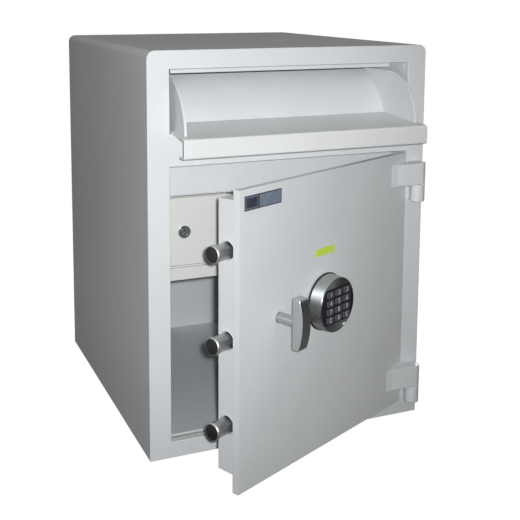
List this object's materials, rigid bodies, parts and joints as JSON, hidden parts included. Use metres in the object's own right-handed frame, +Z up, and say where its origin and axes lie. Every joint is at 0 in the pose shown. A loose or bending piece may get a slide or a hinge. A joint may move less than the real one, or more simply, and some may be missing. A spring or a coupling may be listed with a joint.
{
  "type": "rotary hopper safe",
  "caption": "Steel deposit safe with a tilting hopper tray above, a hinged door with round bolts, T handle and round keypad below, and a small inner locker on a shelf.",
  "frame": {"origin": "middle of the base, on the surface that the safe stands on", "axes": "+Z up, +X to the right seen from the front, -Y out of the front; the door hangs on the +X side"},
  "size_m": [0.468, 0.7078, 0.619],
  "materials": {
    "paint": "semi-gloss",
    "inner_paint": "semi-gloss",
    "locker_paint": "satin",
    "concrete": "rough",
    "chrome": "polished",
    "satin_metal": "satin",
    "steel": "machined",
    "brass": "machined",
    "rubber": "matt",
    "black_plastic": "matt",
    "key_plastic": "matt",
    "led_lens": "gloss"
  },
  "bodies": {
    "body": {"outer_casing": "paint", "back_plate": "paint", "inner_liner": "inner_paint", "concrete_filling": "concrete", "bolt_keep": "steel", "header_panel": "inner_paint", "chute_plate": "inner_paint", "inner_shelf": "locker_paint", "hopper_baffle": "inner_paint", "locker_box": "locker_paint", "locker_hinge_pin": "steel", "hopper_bush_left": "brass", "hopper_bush_right": "brass", "hopper_buffer_left": "rubber", "hopper_buffer_right": "rubber", "hinge_knuckle_upper": "paint", "hinge_knuckle_lower": "paint", "hinge_pin_upper": "steel", "hinge_pin_lower": "steel"},
    "hopper": {"hopper_tray": "paint", "hopper_wall": "paint", "hopper_side_left": "paint", "hopper_side_right": "paint"},
    "locker_leaf": {"locker_door": "locker_paint", "locker_lock_barrel": "satin_metal"},
    "locker_cam": {"locker_cam": "satin_metal"},
    "door": {"door_plate": "paint", "spindle_bush": "brass", "door_box": "paint", "door_rear_cover": "paint", "hinge_strap_upper": "paint", "hinge_strap_lower": "paint", "rack_guide": "steel", "lock_case": "steel", "keypad_gasket": "rubber", "keypad_housing": "satin_metal", "keypad_led": "led_lens", "keypad_panel": "black_plastic"},
    "boltwork": {"bolt_carriage": "steel", "bolt_upper": "chrome", "bolt_middle": "chrome", "bolt_lower": "chrome"},
    "handle": {"handle_spindle": "satin_metal", "handle_grip": "satin_metal", "drive_pinion": "steel"},
    "lock_bolt": {"lock_bolt": "brass"},
    "key_1": {"key_1": "key_plastic"},
    "key_2": {"key_2": "key_plastic"},
    "key_3": {"key_3": "key_plastic"},
    "key_4": {"key_4": "key_plastic"},
    "key_5": {"key_5": "key_plastic"},
    "key_6": {"key_6": "key_plastic"},
    "key_7": {"key_7": "key_plastic"},
    "key_8": {"key_8": "key_plastic"},
    "key_9": {"key_9": "key_plastic"},
    "key_clear": {"key_clear": "key_plastic"},
    "key_0": {"key_0": "key_plastic"},
    "key_enter": {"key_enter": "key_plastic"}
  },
  "joints": [
    {"name": "door_hinge", "type": "hinge", "parent": "body", "child": "door", "pos_m": [0.2173, -0.2712, 0], "axis": [0, 0, 1], "range_deg": [-19, 120]},
    {"name": "hopper_turn", "type": "hinge", "parent": "body", "child": "hopper", "pos_m": [0, -0.222, 0.499], "axis": [-1, 0, 0], "range_deg": [0, 68]},
    {"name": "locker_door_hinge", "type": "hinge", "parent": "body", "child": "locker_leaf", "pos_m": [-0.069, -0.214, 0], "axis": [0, 0, 1], "range_deg": [0, 90]},
    {"name": "locker_cam_turn", "type": "hinge", "parent": "locker_leaf", "child": "locker_cam", "pos_m": [-0.163, -0.214, 0.33815], "axis": [0, -1, 0], "range_deg": [0, 90]},
    {"name": "bolt_slide", "type": "slide", "parent": "door", "child": "boltwork", "axis": [0.9056, 0.4242, 0], "range_m": [0, 0.02827]},
    {"name": "handle_turn", "type": "hinge", "parent": "door", "child": "handle", "pos_m": [-0.08925, -0.40133, 0.2556], "axis": [-0.4242, 0.9056, 0], "range_deg": [0, 90]},
    {"name": "lock_bolt_slide", "type": "slide", "parent": "door", "child": "lock_bolt", "axis": [0, 0, 1], "range_m": [-0.008, 0]},
    {"name": "key_1_press", "type": "slide", "parent": "door", "child": "key_1", "axis": [-0.4242, 0.9056, 0], "range_m": [0, 0.0015], "stiffness_N_per_m": 500, "springref_m": -0.001},
    {"name": "key_2_press", "type": "slide", "parent": "door", "child": "key_2", "axis": [-0.4242, 0.9056, 0], "range_m": [0, 0.0015], "stiffness_N_per_m": 500, "springref_m": -0.001},
    {"name": "key_3_press", "type": "slide", "parent": "door", "child": "key_3", "axis": [-0.4242, 0.9056, 0], "range_m": [0, 0.0015], "stiffness_N_per_m": 500, "springref_m": -0.001},
    {"name": "key_4_press", "type": "slide", "parent": "door", "child": "key_4", "axis": [-0.4242, 0.9056, 0], "range_m": [0, 0.0015], "stiffness_N_per_m": 500, "springref_m": -0.001},
    {"name": "key_5_press", "type": "slide", "parent": "door", "child": "key_5", "axis": [-0.4242, 0.9056, 0], "range_m": [0, 0.0015], "stiffness_N_per_m": 500, "springref_m": -0.001},
    {"name": "key_6_press", "type": "slide", "parent": "door", "child": "key_6", "axis": [-0.4242, 0.9056, 0], "range_m": [0, 0.0015], "stiffness_N_per_m": 500, "springref_m": -0.001},
    {"name": "key_7_press", "type": "slide", "parent": "door", "child": "key_7", "axis": [-0.4242, 0.9056, 0], "range_m": [0, 0.0015], "stiffness_N_per_m": 500, "springref_m": -0.001},
    {"name": "key_8_press", "type": "slide", "parent": "door", "child": "key_8", "axis": [-0.4242, 0.9056, 0], "range_m": [0, 0.0015], "stiffness_N_per_m": 500, "springref_m": -0.001},
    {"name": "key_9_press", "type": "slide", "parent": "door", "child": "key_9", "axis": [-0.4242, 0.9056, 0], "range_m": [0, 0.0015], "stiffness_N_per_m": 500, "springref_m": -0.001},
    {"name": "key_clear_press", "type": "slide", "parent": "door", "child": "key_clear", "axis": [-0.4242, 0.9056, 0], "range_m": [0, 0.0015], "stiffness_N_per_m": 500, "springref_m": -0.001},
    {"name": "key_0_press", "type": "slide", "parent": "door", "child": "key_0", "axis": [-0.4242, 0.9056, 0], "range_m": [0, 0.0015], "stiffness_N_per_m": 500, "springref_m": -0.001},
    {"name": "key_enter_press", "type": "slide", "parent": "door", "child": "key_enter", "axis": [-0.4242, 0.9056, 0], "range_m": [0, 0.0015], "stiffness_N_per_m": 500, "springref_m": -0.001}
  ],
  "couplings": [
    {"joint": "handle_turn", "follows": "bolt_slide", "rad_per_m": 55.556}
  ]
}
